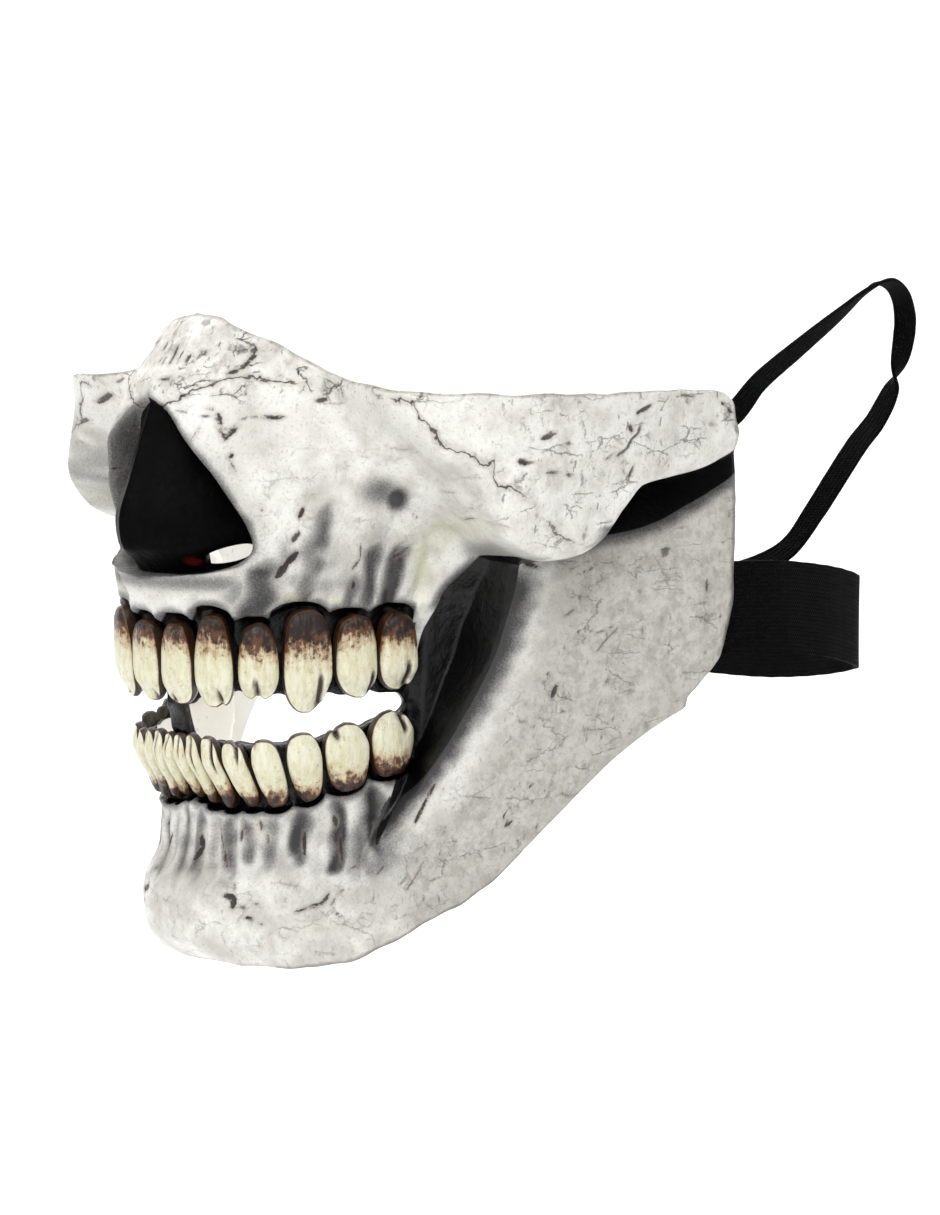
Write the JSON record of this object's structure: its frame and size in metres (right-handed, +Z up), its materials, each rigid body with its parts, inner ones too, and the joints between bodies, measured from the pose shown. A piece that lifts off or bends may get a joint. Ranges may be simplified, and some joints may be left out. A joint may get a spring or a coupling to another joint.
{
  "type": "skull half mask",
  "caption": "Latex half mask shaped as the lower face of a skull, with a nasal opening, bared teeth, mouth slots and two elastic bands.",
  "frame": {"origin": "middle of the face opening: on the midline, in the plane of the two back edges, level with the nasal spine", "axes": "+X towards the wearer's left, -Y the way the mask faces, +Z up"},
  "size_m": [0.175, 0.2249, 0.1738],
  "materials": {
    "painted_latex": "satin",
    "tooth_latex": "gloss",
    "black_elastic": "matte"
  },
  "bodies": {
    "root": {"mask_shell": "painted_latex", "upper_tooth_left_1": "tooth_latex", "upper_tooth_left_2": "tooth_latex", "upper_tooth_left_3": "tooth_latex", "upper_tooth_left_4": "tooth_latex", "upper_tooth_left_5": "tooth_latex", "upper_tooth_left_6": "tooth_latex", "upper_tooth_right_1": "tooth_latex", "upper_tooth_right_2": "tooth_latex", "upper_tooth_right_3": "tooth_latex", "upper_tooth_right_4": "tooth_latex", "upper_tooth_right_5": "tooth_latex", "upper_tooth_right_6": "tooth_latex", "lower_tooth_left_1": "tooth_latex", "lower_tooth_left_2": "tooth_latex", "lower_tooth_left_3": "tooth_latex", "lower_tooth_left_4": "tooth_latex", "lower_tooth_left_5": "tooth_latex", "lower_tooth_left_6": "tooth_latex", "lower_tooth_left_7": "tooth_latex", "lower_tooth_left_8": "tooth_latex", "lower_tooth_right_1": "tooth_latex", "lower_tooth_right_2": "tooth_latex", "lower_tooth_right_3": "tooth_latex", "lower_tooth_right_4": "tooth_latex", "lower_tooth_right_5": "tooth_latex", "lower_tooth_right_6": "tooth_latex", "lower_tooth_right_7": "tooth_latex", "lower_tooth_right_8": "tooth_latex", "head_band": "black_elastic", "upper_strap": "black_elastic"}
  },
  "joints": []
}
